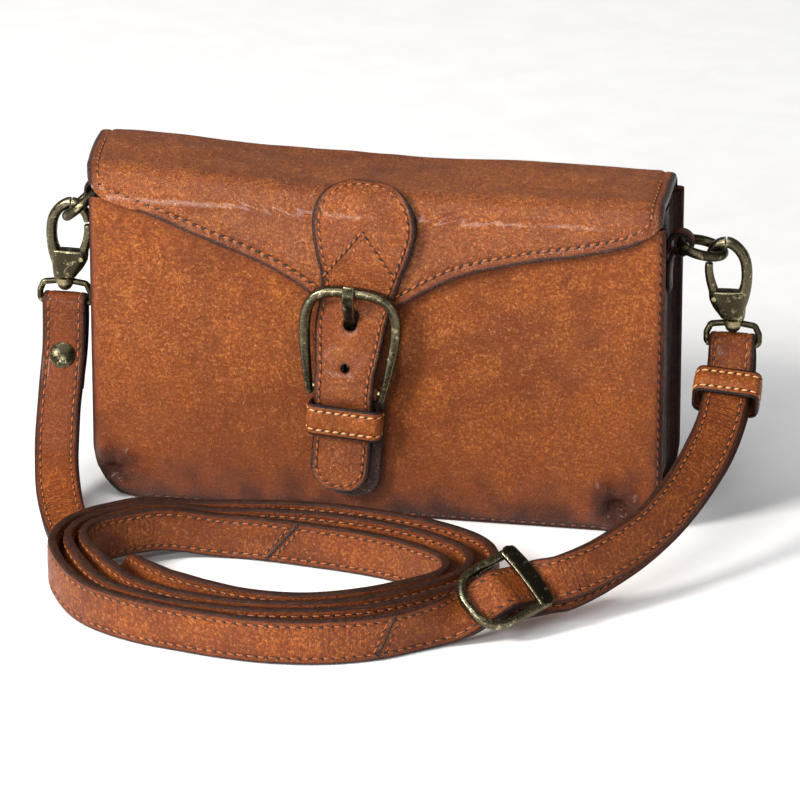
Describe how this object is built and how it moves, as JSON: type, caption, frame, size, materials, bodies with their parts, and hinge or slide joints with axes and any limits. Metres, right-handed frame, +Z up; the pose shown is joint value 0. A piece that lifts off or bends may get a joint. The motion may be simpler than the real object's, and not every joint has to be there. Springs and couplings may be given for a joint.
{
  "type": "sling bag",
  "caption": "Small boxy leather sling bag with a shaped flap closed by a buckled strap over a magnet, and a coiled adjustable shoulder strap on swivel hooks.",
  "frame": {"origin": "middle of the underside of the bag body, where it stands", "axes": "+X to the right side seen from the front, +Y to the back, +Z up; the front faces -Y"},
  "size_m": [0.2567, 0.1822, 0.12],
  "materials": {
    "tan_leather": "semi-gloss oiled cowhide with fine grain, burnished edges",
    "strap_leather": "thick harness leather with raw brown cut edges",
    "lining_cloth": "plain cotton twill",
    "padding": "thin felt stiffener",
    "antique_brass": "dark antique brass, bright where worn",
    "spring_steel": "small torsion spring",
    "zip_metal": "metal zip teeth and slider"
  },
  "bodies": {
    "shell": {"front_panel": "tan_leather", "back_panel": "tan_leather", "gusset": "tan_leather", "front_padding": "padding", "lining": "lining_cloth", "pocket_panel": "lining_cloth", "zip_tape": "lining_cloth", "zip_teeth": "zip_metal", "magnet_female": "antique_brass", "magnet_washer": "antique_brass", "ring_loop_left": "tan_leather", "ring_loop_right": "tan_leather", "strap_coil": "strap_leather", "strap_drop": "strap_leather", "strap_run": "strap_leather", "strap_return": "strap_leather", "strap_rivet": "antique_brass", "strap_slider": "antique_brass"},
    "flap": {"flap": "tan_leather", "flap_lining": "lining_cloth", "tab_upper": "tan_leather"},
    "closure": {"tab_strap": "tan_leather", "under_strap": "tan_leather", "magnet_male": "antique_brass"},
    "buckle": {"buckle_frame": "antique_brass"},
    "prong": {"buckle_prong": "antique_brass"},
    "tab_keeper": {"tab_keeper": "tan_leather"},
    "strap_keeper": {"strap_keeper": "tan_leather"},
    "zip_slider": {"zip_slider": "zip_metal"},
    "zip_pull": {"zip_pull": "tan_leather"},
    "ring_left": {"side_ring_left": "antique_brass"},
    "eye_left": {"swivel_eye_left": "antique_brass"},
    "hook_left": {"hook_body_left": "antique_brass", "gate_pin_left": "antique_brass", "gate_spring_left": "spring_steel", "swivel_post_left": "antique_brass"},
    "gate_left": {"hook_gate_left": "antique_brass"},
    "ring_right": {"side_ring_right": "antique_brass"},
    "eye_right": {"swivel_eye_right": "antique_brass"},
    "hook_right": {"hook_body_right": "antique_brass", "gate_pin_right": "antique_brass", "gate_spring_right": "spring_steel", "swivel_post_right": "antique_brass"},
    "gate_right": {"hook_gate_right": "antique_brass"}
  },
  "joints": [
    {"name": "flap_hinge", "type": "hinge", "parent": "shell", "child": "flap", "pos_m": [0, 0.0214, 0.114], "axis": [-1, 0, 0], "range_deg": [0, 120]},
    {"name": "closure_lift", "type": "hinge", "parent": "flap", "child": "closure", "pos_m": [-0.00469, -0.0268, 0.08646], "axis": [-0.9974, 0, 0.0715], "range_deg": [0, 12]},
    {"name": "buckle_play", "type": "hinge", "parent": "closure", "child": "buckle", "pos_m": [-0.00743, -0.0289, 0.04816], "axis": [0.9974, 0, -0.0715], "range_deg": [0, 1.2]},
    {"name": "prong_play", "type": "hinge", "parent": "buckle", "child": "prong", "pos_m": [-0.00743, -0.0289, 0.04816], "axis": [0.9974, 0, -0.0715], "range_deg": [0, 0.8]},
    {"name": "tab_keeper_slide", "type": "slide", "parent": "closure", "child": "tab_keeper", "axis": [0.0715, 0, 0.9974], "range_m": [-0.003, 0]},
    {"name": "strap_keeper_slide", "type": "slide", "parent": "shell", "child": "strap_keeper", "axis": [0.03, 0.7996, 0.5997], "range_m": [-0.002, 0.002]},
    {"name": "zip_slide", "type": "slide", "parent": "shell", "child": "zip_slider", "axis": [1, 0, 0], "range_m": [0, 0.115]},
    {"name": "zip_pull_swing", "type": "hinge", "parent": "zip_slider", "child": "zip_pull", "pos_m": [-0.058, 0.01435, 0.092], "axis": [-1, 0, 0], "range_deg": [0, 80]},
    {"name": "ring_left_swing", "type": "hinge", "parent": "shell", "child": "ring_left", "pos_m": [-0.1019, 0, 0.1053], "axis": [0, -1, 0], "range_deg": [0, 6]},
    {"name": "eye_left_tilt", "type": "hinge", "parent": "shell", "child": "eye_left", "pos_m": [-0.1143, 0, 0.0636], "axis": [1, 0, 0], "range_deg": [-4, 4]},
    {"name": "hook_left_swivel", "type": "hinge", "parent": "eye_left", "child": "hook_left", "pos_m": [-0.1143, 0, 0.0724], "axis": [0, 0, 1], "range_deg": [-12, 12]},
    {"name": "gate_left_open", "type": "hinge", "parent": "hook_left", "child": "gate_left", "pos_m": [-0.1079, 0, 0.08], "axis": [0, -1, 0], "range_deg": [0, 20], "stiffness_Nm_per_rad": 0.03, "springref_deg": -20.05},
    {"name": "ring_right_swing", "type": "hinge", "parent": "shell", "child": "ring_right", "pos_m": [0.1022, 0, 0.0989], "axis": [0, 1, 0], "range_deg": [0, 5]},
    {"name": "eye_right_tilt", "type": "hinge", "parent": "shell", "child": "eye_right", "pos_m": [0.1205, 0, 0.0636], "axis": [1, 0, 0], "range_deg": [-1.5, 1.5]},
    {"name": "hook_right_swivel", "type": "hinge", "parent": "eye_right", "child": "hook_right", "pos_m": [0.1205, 0, 0.0724], "axis": [0, 0, 1], "range_deg": [-4, 4]},
    {"name": "gate_right_open", "type": "hinge", "parent": "hook_right", "child": "gate_right", "pos_m": [0.1141, 0, 0.08], "axis": [0, 1, 0], "range_deg": [0, 20], "stiffness_Nm_per_rad": 0.03, "springref_deg": -20.05}
  ]
}
